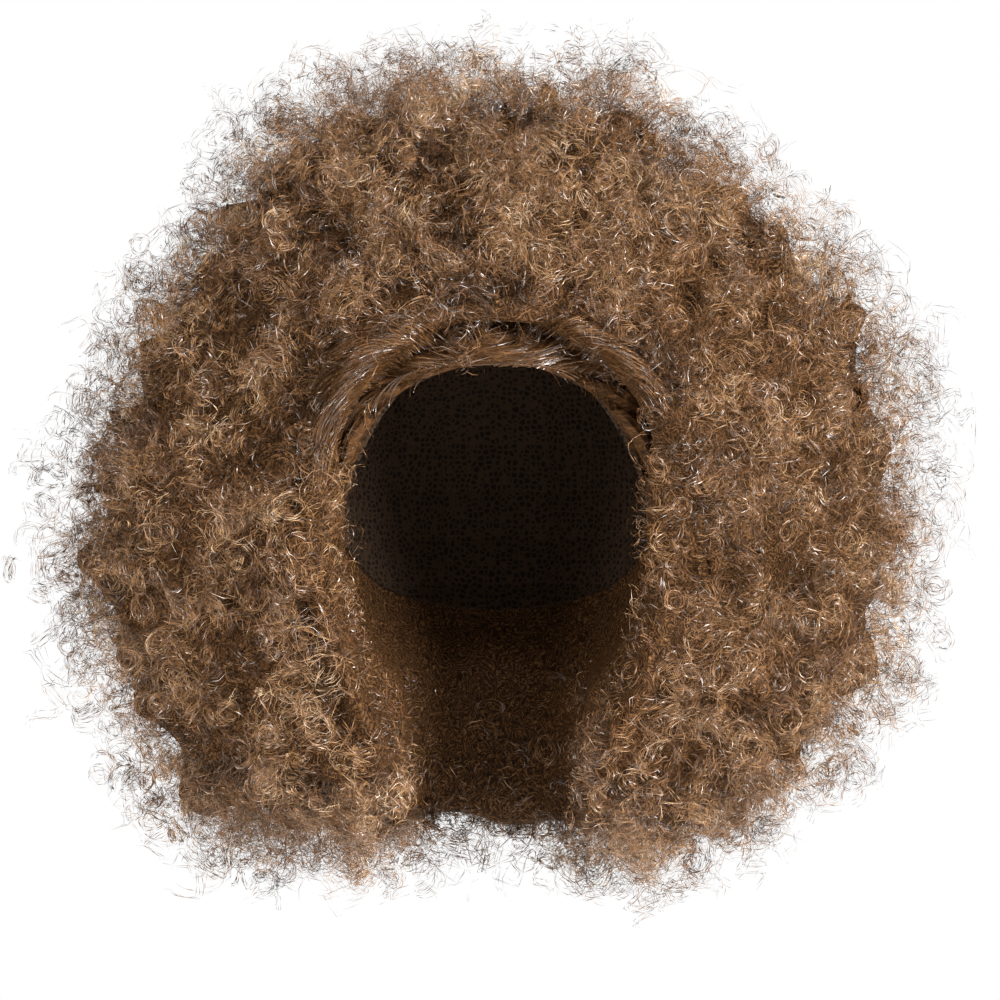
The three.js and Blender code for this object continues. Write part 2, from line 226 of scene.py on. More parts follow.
@dataclass(frozen=True)
class MattedCurls:
    """The deep of the curls, where strands lie too close to be told apart: rings of strands, darkened well below the
    fibre's brown as painted shade of the deep hair.

    Attributes:
        name: The material's name.
        ring_mm: Width of one curl seen end on.
        strand_mm: Spacing of the strands in a curl, drawn coarser than the real 0.1 mm so that it shows.
        roughness: Softness of the gloss.
        gloss: Strength of the gloss, low because the strands shade each other.
    """

    name: str = "matted_curls_painted_shade"
    # Painted shade: the ramp darkens the deep hair's brown for the little light that reaches it.
    shades: tuple[tuple[float, str], ...] = ((0.0, "#100804"), (0.45, "#33200f"), (0.75, "#5c3f25"), (1.0, "#856340"))
    ring_mm: float = 13.0
    strand_mm: float = 1.4
    roughness: float = 0.7
    gloss: float = 0.08

    def material(self) -> bpy.types.Material:
        """Build the material from Voronoi cells, each filled with rings of strands."""
        material = bpy.data.materials.new(self.name)
        material.use_nodes = True
        tree = material.node_tree
        tree.nodes.clear()
        place = add_node(tree, "ShaderNodeTexCoord").outputs["Object"]
        warp = add_node(
            tree, "ShaderNodeTexNoise", inputs={"Vector": place, "Scale": 2 / (self.ring_mm * MM), "Detail": 3.0}
        )
        push = add_node(
            tree,
            "ShaderNodeVectorMath",
            {"operation": "MULTIPLY_ADD"},
            {0: warp.outputs["Color"], 1: (self.ring_mm * MM * 0.8,) * 3, 2: place},
        )
        cells = add_node(
            tree,
            "ShaderNodeTexVoronoi",
            {"feature": "F1"},
            {"Vector": push.outputs[0], "Scale": 1 / (self.ring_mm * MM)},
        )
        rings = add_node(
            tree,
            "ShaderNodeMath",
            {"operation": "MULTIPLY"},
            {0: cells.outputs["Distance"], 1: 2 * math.pi * self.ring_mm / self.strand_mm},
        )
        wave = add_node(tree, "ShaderNodeMath", {"operation": "SINE"}, {0: rings.outputs[0]})
        grain = add_node(
            tree, "ShaderNodeTexNoise", inputs={"Vector": place, "Scale": 1 / (self.strand_mm * MM), "Detail": 3.0}
        )
        level = add_node(
            tree,
            "ShaderNodeMath",
            {"operation": "MULTIPLY_ADD"},
            {0: wave.outputs[0], 1: 0.22, 2: grain.outputs["Fac"]},
        )
        colour = add_ramp(tree, level.outputs[0], list(self.shades))
        bump = add_node(
            tree, "ShaderNodeBump", inputs={"Strength": 0.8, "Distance": 0.6 * MM, "Height": level.outputs[0]}
        )
        surface = add_node(
            tree,
            "ShaderNodeBsdfPrincipled",
            inputs={
                "Base Color": colour,
                "Roughness": self.roughness,
                "Specular IOR Level": self.gloss,
                "Normal": bump.outputs[0],
            },
        )
        add_node(tree, "ShaderNodeOutputMaterial", inputs={"Surface": surface.outputs[0]})
        return material


@dataclass(frozen=True)
class CombedMat:
    """Dense combed fibre under the loose strands, with streaks along the comb's way, darkened as painted shade under
    the strands.

    Attributes:
        name: The material's name.
        streak_mm: Width of a streak.
    """

    name: str = "combed_mat_painted_shade"
    # Painted shade: the ramp is darker than the combed fibre, for the shade under the strands.
    shades: tuple[tuple[float, str], ...] = ((0.25, "#1d1208"), (0.55, "#4a311b"), (0.8, "#6f4e30"))
    streak_mm: float = 1.6
    roughness: float = 0.7
    gloss: float = 0.08

    def material(self) -> bpy.types.Material:
        """Build the material from noise that is drawn out sideways."""
        material = bpy.data.materials.new(self.name)
        material.use_nodes = True
        tree = material.node_tree
        tree.nodes.clear()
        place = add_node(tree, "ShaderNodeTexCoord").outputs["Object"]
        drawn = add_node(tree, "ShaderNodeMapping", inputs={"Vector": place, "Scale": (0.12, 1.0, 1.0)})
        streaks = add_node(
            tree,
            "ShaderNodeTexNoise",
            inputs={"Vector": drawn.outputs[0], "Scale": 1 / (self.streak_mm * MM), "Detail": 3.0},
        )
        colour = add_ramp(tree, streaks.outputs["Fac"], list(self.shades))
        bump = add_node(
            tree,
            "ShaderNodeBump",
            inputs={"Strength": 0.8, "Distance": 0.5 * MM, "Height": streaks.outputs["Fac"]},
        )
        surface = add_node(
            tree,
            "ShaderNodeBsdfPrincipled",
            inputs={
                "Base Color": colour,
                "Roughness": self.roughness,
                "Specular IOR Level": self.gloss,
                "Normal": bump.outputs[0],
            },
        )
        add_node(tree, "ShaderNodeOutputMaterial", inputs={"Surface": surface.outputs[0]})
        return material


@dataclass(frozen=True)
class StretchNet:
    """Knitted elastic wig net: small diamond holes between matte threads.

    Attributes:
        name: The material's name.
        mesh_mm: Spacing of the holes.
    """

    name: str = "knitted_stretch_net"
    thread: str = "#35271b"
    hole: str = "#140d09"
    mesh_mm: float = 2.6
    roughness: float = 0.85
    gloss: float = 0.12

    def material(self) -> bpy.types.Material:
        """Build the material with its threads raised over the holes."""
        material = bpy.data.materials.new(self.name)
        material.use_nodes = True
        tree = material.node_tree
        tree.nodes.clear()
        place = add_node(tree, "ShaderNodeTexCoord").outputs["Object"]
        cells = add_node(
            tree,
            "ShaderNodeTexVoronoi",
            {"feature": "DISTANCE_TO_EDGE"},
            {"Vector": place, "Scale": 1 / (self.mesh_mm * MM), "Randomness": 0.8},
        )
        colour = add_ramp(tree, cells.outputs["Distance"], [(0.1, self.thread), (0.22, self.hole)])
        bump = add_node(
            tree,
            "ShaderNodeBump",
            {"invert": True},
            {"Strength": 0.7, "Distance": 0.4 * MM, "Height": cells.outputs["Distance"]},
        )
        surface = add_node(
            tree,
            "ShaderNodeBsdfPrincipled",
            inputs={
                "Base Color": colour,
                "Roughness": self.roughness,
                "Specular IOR Level": self.gloss,
                "Normal": bump.outputs[0],
            },
        )
        add_node(tree, "ShaderNodeOutputMaterial", inputs={"Surface": surface.outputs[0]})
        return material


def smooth_step(low: float, high: float, value: np.ndarray) -> np.ndarray:
    """Ease from 0 at low to 1 at high.

    Args:
        low: Where it starts.
        high: Where it ends.
        value: The numbers to ease.

    Returns:
        Numbers from 0 to 1.
    """
    share = np.clip((value - low) / (high - low), 0.0, 1.0)
    return share * share * (3 - 2 * share)


def points_of(mesh: bpy.types.Mesh) -> np.ndarray:
    """Give a mesh's vertices as rows of x, y and z."""
    flat = np.empty(len(mesh.vertices) * 3, dtype=np.float32)
    mesh.vertices.foreach_get("co", flat)
    return flat.reshape(-1, 3).astype(np.float64)


def set_points(mesh: bpy.types.Mesh, points: np.ndarray) -> None:
    """Put rows of x, y and z back as a mesh's vertices."""
    mesh.vertices.foreach_set("co", points.astype(np.float32).ravel())
    mesh.update()


def set_attribute(mesh: bpy.types.Mesh, kind: Attribute, values: np.ndarray) -> None:
    """Store one number for each vertex of a mesh."""
    layer = mesh.attributes.new(kind.value, "FLOAT", "POINT")
    layer.data.foreach_set("value", values.astype(np.float32))


def attribute_of(mesh: bpy.types.Mesh, kind: Attribute) -> np.ndarray:
    """Give the numbers that a mesh holds for each vertex under a name."""
    values = np.empty(len(mesh.vertices), dtype=np.float32)
    mesh.attributes[kind.value].data.foreach_get("value", values)
    return values


def mesh_from(name: str, points: np.ndarray, faces: np.ndarray) -> bpy.types.Mesh:
    """Make a smooth mesh of triangles from arrays.

    Args:
        name: The mesh's name.
        points: Rows of x, y and z.
        faces: Rows of three vertices.

    Returns:
        The mesh.
    """
    mesh = bpy.data.meshes.new(name)
    mesh.vertices.add(len(points))
    mesh.vertices.foreach_set("co", points.astype(np.float32).ravel())
    mesh.loops.add(faces.size)
    mesh.loops.foreach_set("vertex_index", faces.astype(np.int32).ravel())
    mesh.polygons.add(len(faces))
    mesh.polygons.foreach_set("loop_start", np.arange(0, faces.size, 3, dtype=np.int32))
    mesh.polygons.foreach_set("use_smooth", np.ones(len(faces), dtype=bool))
    mesh.update(calc_edges=True)
    return mesh


def object_from(name: str, mesh: bpy.types.Mesh) -> bpy.types.Object:
    """Make an object at the origin from a mesh and show it."""
    mesh.name = name
    made = bpy.data.objects.new(name, mesh)
    bpy.context.scene.collection.objects.link(made)
    return made


def evaluated_mesh(source: bpy.types.Object) -> bpy.types.Mesh:
    """Give a plain mesh of an object with its modifiers applied, and remove the object."""
    depsgraph = bpy.context.evaluated_depsgraph_get()
    mesh = bpy.data.meshes.new_from_object(
        source.evaluated_get(depsgraph), preserve_all_data_layers=True, depsgraph=depsgraph
    )
    bpy.data.objects.remove(source)
    return mesh


def merged_copy(node: str) -> bmesh.types.BMesh:
    """Give a copy of a CAD node's mesh with its loose triangles merged."""
    made = bmesh.new()
    made.from_mesh(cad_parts[node].data)
    bmesh.ops.remove_doubles(made, verts=made.verts, dist=0.01 * MM)
    return made


def eased(depth: np.ndarray, limit: float) -> np.ndarray:
    """Squeeze depths so that none passes a limit.

    Args:
        depth: Depths of any size.
        limit: The depth that none passes.

    Returns:
        The squeezed depths.
    """
    return limit * (1 - np.exp(-depth / limit))


def kept_near_solids(points: np.ndarray) -> np.ndarray:
    """Squeeze the furthest points towards the box of the solids.

    Args:
        points: Rows of x, y and z.

    Returns:
        The moved points.
    """
    low, high = (np.array(corner) for corner in CAD_BOUNDS)
    middle, half = (high + low) / 2, (high - low) / 2 * 1.06 + FRINGE
    offset = np.abs(points - middle)
    near = half - SQUEEZED
    reach = np.minimum(offset, near) + eased(np.maximum(offset - near, 0.0), SQUEEZED)
    return middle + np.sign(points - middle) * reach


@dataclass(frozen=True)
class HeadSpace:
    """The room that the wearer's head, face and neck need, which no hair enters.

    Attributes:
        crown_rise: Crown above the widest level of the head.
        face_half: Half the width and half the height of the face opening.
        face_middle: Height of the middle of the face.
        face_power: How square the opening's upper and lower half are: 2 is an oval.
        overhang: How far above the hairline the painted shade under the overhanging hair reaches.
        neck_half: Half the width and half the depth of the neck.
        neck_back: Middle of the neck behind the middle of the head.
        neck_top: Height at which the neck's slot begins.
    """

    crown_rise: float = 95 * MM
    face_half: tuple[float, float] = (65 * MM, 87 * MM)
    face_middle: float = -128 * MM
    face_power: tuple[float, float] = (3.6, 2.4)
    overhang: float = 48 * MM
    neck_half: tuple[float, float] = (39 * MM, 52 * MM)
    neck_back: float = 14 * MM
    neck_top: float = -195 * MM

    @property
    def middle(self) -> np.ndarray:
        """Middle of the head."""
        return np.array([0.0, 0.0, -self.crown_rise])

    @property
    def radii(self) -> np.ndarray:
        """Half the width, length and height of the head with the cap on."""
        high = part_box("cap")[1]
        return np.array([high[0], high[1], self.crown_rise + high[2]])

    def depth_share(self, points: np.ndarray) -> np.ndarray:
        """Give each point's distance from the head's middle as a share of the head's radius there."""
        return np.linalg.norm((points - self.middle) / self.radii, axis=1)

    def face_share(self, points: np.ndarray) -> np.ndarray:
        """Give each point's place in the face opening in front view: 0 in the middle, 1 on its edge."""
        across = np.abs(points[:, 0]) / self.face_half[0]
        up = (points[:, 2] - self.face_middle) / self.face_half[1]
        power = np.where(up > 0, *self.face_power)
        return (across**power + np.abs(up) ** power) ** (1 / power)

    def overhang_shade_mask(self, points: np.ndarray) -> np.ndarray:
        """Give the share of painted shade under the overhanging hair: 1 at the hairline, falling to 0 where the hair
        over it no longer overhangs.
        """
        beyond = (self.face_share(points) - 1) * self.face_half[0]
        near = smooth_step(self.overhang, 0.0, beyond)
        return near * smooth_step(-100 * MM, -70 * MM, points[:, 2]) * smooth_step(-40 * MM, -60 * MM, points[:, 1])

    def neck_share(self, points: np.ndarray) -> np.ndarray:
        """Give each point's place in the neck seen from above: 0 in the middle, 1 on its outline."""
        across = points[:, 0] / self.neck_half[0]
        along = (points[:, 1] - self.neck_back) / self.neck_half[1]
        return np.hypot(across, along)

    def opening_depth(self, points: np.ndarray) -> np.ndarray:
        """Give how deep each point lies in the room for the face and the neck, below 0 outside it."""
        outside = -1.0
        face = (1 - self.face_share(points)) * self.face_half[0]
        slot = self.neck_half[0] - np.abs(points[:, 0])
        neck = (1 - self.neck_share(points)) * self.neck_half[0]
        return np.max(
            [
                np.where(points[:, 1] < 0, face, outside),
                np.where((points[:, 1] < self.neck_back) & (points[:, 2] < self.neck_top), slot, outside),
                np.where(points[:, 2] < self.middle[2], neck, outside),
            ],
            axis=0,
        )

    def cap_depth(self, points: np.ndarray) -> np.ndarray:
        """Give how deep each point lies under the outside of the cap, below 0 outside it."""
        return (1 - self.depth_share(points)) * self.radii[0]


@dataclass
class CurlBed:
    """The deep of the ball: one lumpy surface under the loose curls, hollow where the solids are.

    Attributes:
        head: The head's room.
        nodes: The panels of hair that it lies in.
        voxel: Size of its faces.
        inset: How far it lies inside the solids' outline.
        lump: Width and height of its larger lumps.
        clumps: X and z of the middle, height and width, in mm, of the clumps that show in the outline.
        curl: Width and height of the single curls on it.
        bare: How far above the hairline no curls grow, at the left, middle and right of the picture.
        dip: How much further the bed lies inside there.
        rim: Height below which the bed is drawn up behind the neck, and the share of its length that stays.
    """

    head: HeadSpace
    nodes: tuple[str, ...]
    voxel: float = 5.2 * MM
    smoothing: int = 24
    inset: float = 18 * MM
    lump: tuple[float, float] = (50 * MM, 8 * MM)
    clumps: tuple[tuple[float, float, float, float], ...] = (
        (-51, 94, 9, 36),
        (63, 86, 8, 30),
        (-108, 72, 7, 32),
        (126, 44, 5, 30),
        (172, -10, 5, 30),
        (-160, 6, 4, 30),
        (-190, -110, 5, 34),
        (190, -140, 6, 34),
        (-164, -200, 7, 36),
        (-138, -246, 8, 40),
        (150, -220, 5, 34),
        (68, -268, 7, 30),
    )
    curl: tuple[float, float] = (13 * MM, 2.4 * MM)
    bare: tuple[float, float, float] = (17 * MM, 10 * MM, 0.0)
    dip: float = 6 * MM
    rim: tuple[float, float] = (-230 * MM, 0.4)
    finish: MattedCurls = field(default_factory=MattedCurls)

    def build(self) -> bpy.types.Object:
        """Build and dress the bed, with the attributes that the curls grow by."""
        mesh = self.rounded_solids()
        points = points_of(mesh)
        normals = np.empty(len(mesh.vertices) * 3, dtype=np.float32)
        mesh.vertices.foreach_get("normal", normals)
        outer = self.outer_share(points)
        height = self.clump_height(points) - outer * self.inset - self.combed_share(points) * self.dip
        sunk = points + normals.reshape(-1, 3) * height[:, None]
        top, share = self.rim
        behind_neck = smooth_step(100 * MM, 62 * MM, np.abs(sunk[:, 0]))
        sunk[:, 2] += behind_neck * (1 - share) * np.maximum(top - sunk[:, 2], 0.0)
        set_points(mesh, sunk)
        low = smooth_step(-205 * MM, -240 * MM, points[:, 2])
        near_front = np.interp(points[:, 1], (-95 * MM, -55 * MM), (0.65, 1.0))
        set_attribute(mesh, Attribute.RELIEF, (0.12 + 0.88 * outer * near_front) * (1 - 0.7 * low))
        set_attribute(mesh, Attribute.LIFT, 0.12 + 0.88 * np.maximum(outer, 0.7 * low) * near_front)
        set_attribute(mesh, Attribute.GROWTH, self.growth_share(points, outer))
        bed = object_from("curl_bed", mesh)
        self.roughen(bed)
        mesh = evaluated_mesh(bed)
        bed = object_from("curl_bed", mesh)
        mesh.materials.clear()
        mesh.materials.append(self.finish.material())
        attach(bed, "root")
        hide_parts(*self.nodes)
        return bed

    def rounded_solids(self) -> bpy.types.Mesh:
        """Join copies of the panels, remesh them as one closed surface and smooth it."""
        joined = bmesh.new()
        for node in self.nodes:
            part = merged_copy(node)
            copy = bpy.data.meshes.new(node)
            part.to_mesh(copy)
            part.free()
            joined.from_mesh(copy)
            bpy.data.meshes.remove(copy)
        mesh = bpy.data.meshes.new("bed")
        joined.to_mesh(mesh)
        joined.free()
        whole = object_from("bed", mesh)
        remesh = whole.modifiers.new("Voxels", "REMESH")
        remesh.mode = "VOXEL"
        remesh.voxel_size = self.voxel
        smooth = whole.modifiers.new("Smooth", "SMOOTH")
        smooth.factor = 0.5
        smooth.iterations = self.smoothing
        return evaluated_mesh(whole)

    def clump_height(self, points: np.ndarray) -> np.ndarray:
        """Give how far the clumps push each point out."""
        height = np.zeros(len(points))
        for x, z, rise, width in self.clumps:
            away = np.hypot(points[:, 0] - x * MM, points[:, 2] - z * MM) / (width * MM)
            height += rise * MM * np.exp(-away * away)
        return height

    def outer_share(self, points: np.ndarray) -> np.ndarray:
        """Give 1 on the outside of the ball and 0 in the hollow for the head and neck."""
        depth = smooth_step(1.07, 1.22, self.head.depth_share(points))
        neck = smooth_step(1.08, 1.6, self.head.neck_share(points))
        face = smooth_step(1.03, 1.3, self.head.face_share(points))
        below = points[:, 2] < self.head.middle[2]
        ahead = points[:, 1] < 0
        return depth * np.where(below, neck, 1.0) * np.where(ahead, face, 1.0)

    def growth_share(self, points: np.ndarray, outer: np.ndarray) -> np.ndarray:
        """Give how thickly curls grow: fully outside, thinly in the hollow, not at all against the cap."""
        depth = self.head.depth_share(points)
        under_cap = (depth < 1.07) & (points[:, 2] > -150 * MM)
        ahead = np.interp(points[:, 1], (-60 * MM, 60 * MM), (1.25, 0.8))
        combed = self.combed_share(points) > 0.75
        low = smooth_step(-205 * MM, -240 * MM, points[:, 2])
        rim = low * smooth_step(85 * MM, 60 * MM, np.abs(points[:, 0])) * smooth_step(30 * MM, 60 * MM, points[:, 1])
        return np.where(under_cap | combed, 0.0, (0.6 + 0.4 * outer) * (ahead + 1.4 * low + 3.0 * rim))

    def combed_share(self, points: np.ndarray) -> np.ndarray:
        """Give 1 where the hair is combed along the hairline and 0 where it is curled."""
        beyond = (self.head.face_share(points) - 1) * self.head.face_half[0]
        bare = np.interp(points[:, 0], (-50 * MM, 0.0, 50 * MM), self.bare)
        near = 1 - smooth_step(0.0, 12 * MM, beyond - bare)
        ahead = 1 - smooth_step(-40 * MM, -25 * MM, points[:, 1])
        above = smooth_step(-92 * MM, -72 * MM, points[:, 2])
        return near * ahead * above

    def roughen(self, bed: bpy.types.Object) -> None:
        """Raise lumps and curls on the bed with a Geometry Nodes modifier."""
        tree = bpy.data.node_groups.new("bed_relief", "GeometryNodeTree")
        tree.interface.new_socket("Geometry", in_out="INPUT", socket_type="NodeSocketGeometry")
        tree.interface.new_socket("Geometry", in_out="OUTPUT", socket_type="NodeSocketGeometry")
        source = add_node(tree, "NodeGroupInput")
        place = add_node(tree, "GeometryNodeInputPosition").outputs[0]
        normal = add_node(tree, "GeometryNodeInputNormal").outputs[0]
        lift = add_node(tree, "GeometryNodeInputNamedAttribute", inputs={"Name": Attribute.RELIEF.value}).outputs[0]
        lumps = add_node(
            tree, "ShaderNodeTexNoise", inputs={"Vector": place, "Scale": 1 / self.lump[0], "Detail": 1.6}
        )
        curls = add_node(
            tree, "ShaderNodeTexVoronoi", {"feature": "F1"}, {"Vector": place, "Scale": 1 / self.curl[0]}
        )
        raised = add_node(
            tree,
            "ShaderNodeMath",
            {"operation": "MULTIPLY_ADD"},
            {0: lumps.outputs["Fac"], 1: 2 * self.lump[1], 2: -self.lump[1]},
        )
        domed = add_node(
            tree,
            "ShaderNodeMath",
            {"operation": "MULTIPLY_ADD"},
            {0: curls.outputs["Distance"], 1: -self.curl[1], 2: raised.outputs[0]},
        )
        height = add_node(tree, "ShaderNodeMath", {"operation": "MULTIPLY"}, {0: domed.outputs[0], 1: lift})
        offset = add_node(tree, "ShaderNodeVectorMath", {"operation": "SCALE"}, {0: normal, 3: height.outputs[0]})
        moved = add_node(
            tree, "GeometryNodeSetPosition", inputs={"Geometry": source.outputs[0], "Offset": offset.outputs[0]}
        )
        add_node(tree, "NodeGroupOutput", inputs={0: moved.outputs[0]})
        bed.modifiers.new("Relief", "NODES").node_group = tree


@dataclass(frozen=True)
class CurlSizes:
    """Sizes of the curls that grow on a panel, as inputs of the Geometry Nodes tree.

    Attributes:
        ringlets: Coiled bundles for each square metre of bed.
        loops: Loose loops that stand further out, for each square metre.
        fuzz: Single frizzy strands for each square metre.
        seed: Seed of everything random.
        ring_radius: Radius of a ringlet.
        loop_radius: Radius of a loose loop.
        fuzz_length: Straight length of a frizzy strand.
        width: Widest place of a strand in a ringlet, drawn as a few fibres that cling together.
        loose_width: Width of a loose strand.
        lift: How far the ringlets stand off the bed.
    """

    ringlets: float
    loops: float
    fuzz: float
    seed: int
    ring_radius: float = 7.0 * MM
    loop_radius: float = 6.0 * MM
    fuzz_length: float = 32 * MM
    width: float = 0.44 * MM
    loose_width: float = 0.38 * MM
    lift: float = 12.5 * MM


@dataclass(frozen=True)
class CurlKind:
    """One kind of curl: a spiral of unit size in several versions, repeated as a bundle of strands.

    Attributes:
        amount: The tree's input that says how many grow.
        size: The tree's input that says how large they are.
        width: The tree's input that says how wide a strand is.
        strands: Strands in a bundle.
        points: Points on a turn.
        versions: Turns, start radius, end radius and height of each version.
        stray: How far a bundle's strands stray, as a share of the size.
        nest: How much their radii differ, so that they lie as rings in rings.
        lean: The most that a curl leans, in radians.
        rise: Lowest and highest place off the bed, as a share of the lift.
        spread: Smallest and largest scale.
        tip: Width at the tip as a share of the width at the root.
    """

    amount: str
    size: str
    width: str
    strands: int
    points: int
    versions: tuple[tuple[float, float, float, float], ...]
    stray: float
    nest: float
    lean: float
    rise: tuple[float, float]
    spread: tuple[float, float]
    tip: float


RINGLET = CurlKind(
    amount="Ringlets per m2",
    size="Ring radius",
    width="Strand width",
    strands=7,
    points=11,
    versions=(
        (1.3, 0.9, 1.0, 0.2),
        (1.5, 0.6, 1.0, 0.9),
        (1.8, 0.5, 1.0, 0.3),
        (2.0, 0.8, 0.9, 1.8),
        (2.3, 0.4, 1.0, 0.6),
        (1.4, 1.0, 0.7, 1.4),
    ),
    stray=0.12,
    nest=0.38,
    lean=1.25,
    rise=(-0.2, 1.25),
    spread=(0.6, 1.3),
    tip=0.6,
)
LOOP = CurlKind(
    amount="Loops per m2",
    size="Loop radius",
    width="Loose strand width",
    strands=5,
    points=11,
    versions=((1.2, 1.0, 0.9, 0.8), (1.6, 0.9, 0.8, 3.2), (2.0, 0.8, 0.7, 4.4), (2.3, 0.5, 1.0, 1.4)),
    stray=0.24,
    nest=0.16,
    lean=1.5,
    rise=(0.7, 2.6),
    spread=(0.55, 1.35),
    tip=0.4,
)
FUZZ = CurlKind(
    amount="Fuzz per m2",
    size="Fuzz length",
    width="Loose strand width",
    strands=3,
    points=10,
    versions=((1.7, 0.06, 0.2, 1.0), (2.1, 0.1, 0.26, 0.9), (2.6, 0.05, 0.16, 1.1), (3.0, 0.08, 0.2, 0.9)),
    stray=0.05,
    nest=0.05,
    lean=1.35,
    rise=(-0.5, 0.6),
    spread=(0.6, 1.3),
    tip=0.35,
)


class StrandTree:
    """A Geometry Nodes tree that ends in strands: flat ribbons that twist, taper and frizz."""

    inputs: tuple[tuple[str, str, str], ...] = ()

    def __init__(self, name: str) -> None:
        """Start the tree with its named inputs."""
        self.tree = bpy.data.node_groups.new(name, "GeometryNodeTree")
        self.identifiers: dict[str, str] = {}
        self.tree.interface.new_socket("Carrier", in_out="INPUT", socket_type="NodeSocketGeometry")
        for label, kind, size in self.inputs:
            socket = self.tree.interface.new_socket(label, in_out="INPUT", socket_type=kind)
            self.identifiers[size] = socket.identifier
        self.tree.interface.new_socket("Strands", in_out="OUTPUT", socket_type="NodeSocketGeometry")
        self.source = add_node(self.tree, "NodeGroupInput")

    def node(
        self, kind: str, settings: dict[str, object] | None = None, inputs: dict[str | int, object] | None = None
    ) -> bpy.types.Node:
        """Add a node to this tree."""
        return add_node(self.tree, kind, settings, inputs)

    def math(self, operation: str, *values: object) -> bpy.types.NodeSocket:
        """Add a Math node on values or sockets and give its result."""
        return self.node("ShaderNodeMath", {"operation": operation}, dict(enumerate(values))).outputs[0]

    def seeded(self, offset: int) -> bpy.types.NodeSocket:
        """Give the tree's seed with an offset of its own."""
        return self.math("ADD", self.source.outputs["Seed"], offset)

    def random(self, low: float, high: float, seed: int, identity: object | None = None) -> bpy.types.NodeSocket:
        """Give a random number for each element.

        Args:
            low: Lowest number.
            high: Highest number.
            seed: Offset of the seed.
            identity: Socket that tells the elements apart, if not their own number.

        Returns:
            The number's socket.
        """
        inputs: dict[str | int, object] = {2: low, 3: high, 8: self.seeded(seed)}
        if identity is not None:
            inputs[7] = identity
        return self.node("FunctionNodeRandomValue", {"data_type": "FLOAT"}, inputs).outputs[1]

    def stored(
        self, geometry: bpy.types.NodeSocket, kind: Attribute, domain: str, value: bpy.types.NodeSocket
    ) -> bpy.types.NodeSocket:
        """Store a number as a named attribute and give the geometry."""
        return self.node(
            "GeometryNodeStoreNamedAttribute",
            {"data_type": "FLOAT", "domain": domain},
            {"Geometry": geometry, "Name": kind.value, "Value": value},
        ).outputs[0]

    def widened(
        self, curves: bpy.types.NodeSocket, width: bpy.types.NodeSocket, tip: float, together: int
    ) -> bpy.types.NodeSocket:
        """Give each strand its width and taper, and a tone that it partly shares with its bundle.

        Args:
            curves: The strands.
            width: Their width.
            tip: Width at the tip as a share of the width at the root.
            together: Strands in a bundle.

        Returns:
            The strands.
        """
        index = self.node("GeometryNodeInputIndex").outputs[0]
        bundle = self.math("FLOOR", self.math("DIVIDE", self.math("ADD", index, 0.5), float(together)))
        tone = self.math("ADD", self.random(0.0, 0.45, 31, index), self.random(0.05, 0.55, 32, bundle))
        toned = self.stored(curves, Attribute.TONE_AND_SHADE, "CURVE", tone)
        along = self.node("GeometryNodeSplineParameter").outputs["Factor"]
        marked = self.stored(toned, Attribute.ALONG, "POINT", along)
        taper = self.math("MULTIPLY_ADD", along, tip - 1.0, 1.0)
        return self.node(
            "GeometryNodeSetCurveRadius", inputs={"Curve": marked, "Radius": self.math("MULTIPLY", taper, width)}
        ).outputs[0]

    def frizzed(
        self, curves: bpy.types.NodeSocket, size: float, strength: float, together: int
    ) -> bpy.types.NodeSocket:
        """Warp strands by noise.

        Args:
            curves: The strands.
            size: Width of the noise's waves.
            strength: How far it pushes.
            together: Strands that are pushed as one, or 0 for all that lie beside each other.

        Returns:
            The warped strands.
        """
        place = self.node("GeometryNodeInputPosition").outputs[0]
        own = self.node("GeometryNodeCurveOfPoint").outputs[0]
        bundle = self.math("FLOOR", self.math("DIVIDE", self.math("ADD", own, 0.5), float(max(together, 1))))
        noise = self.node(
            "ShaderNodeTexNoise",
            {"noise_dimensions": "4D"},
            {
                "Vector": place,
                "W": self.math("MULTIPLY", bundle, 0.731 if together else 0.0),
                "Scale": 1 / size,
                "Detail": 1.0,
            },
        )
        centred = self.node(
            "ShaderNodeVectorMath", {"operation": "SUBTRACT"}, {0: noise.outputs["Color"], 1: (0.5,) * 3}
        )
        push = self.node("ShaderNodeVectorMath", {"operation": "SCALE"}, {0: centred.outputs[0], 3: 2 * strength})
        return self.node(
            "GeometryNodeSetPosition", inputs={"Geometry": curves, "Offset": push.outputs[0]}
        ).outputs[0]

    def wires(self, curves: bpy.types.NodeSocket, material: bpy.types.Material) -> None:
        """End the tree: turn the strands into wires that carry their own number and width.

        Args:
            curves: The strands.
            material: What they are made of.
        """
        number = self.node("GeometryNodeCurveOfPoint").outputs[0]
        numbered = self.stored(curves, Attribute.STRAND, "POINT", number)
        radius = self.node("GeometryNodeInputRadius").outputs[0]
        sized = self.stored(numbered, Attribute.WIDTH, "POINT", radius)
        drawn = self.node("GeometryNodeCurveToMesh", inputs={"Curve": sized})
        whole = self.node("GeometryNodeRealizeInstances", inputs={0: drawn.outputs[0]})
        dressed = self.node("GeometryNodeSetMaterial", inputs={"Geometry": whole.outputs[0], "Material": material})
        add_node(self.tree, "NodeGroupOutput", inputs={0: dressed.outputs[0]})

    def grow(self, name: str, carrier: bpy.types.Mesh, sizes: object) -> bpy.types.Mesh:
        """Make the strands of one carrier.

        Args:
            name: Name of the result.
            carrier: The mesh that the tree reads.
            sizes: The dataclass that holds the inputs.

        Returns:
            The strands as runs of edges.
        """
        holder = object_from(name, carrier)
        modifier = holder.modifiers.new("Strands", "NODES")
        modifier.node_group = self.tree
        for _, _, size in self.inputs:
            modifier[self.identifiers[size]] = getattr(sizes, size)
        return evaluated_mesh(holder)


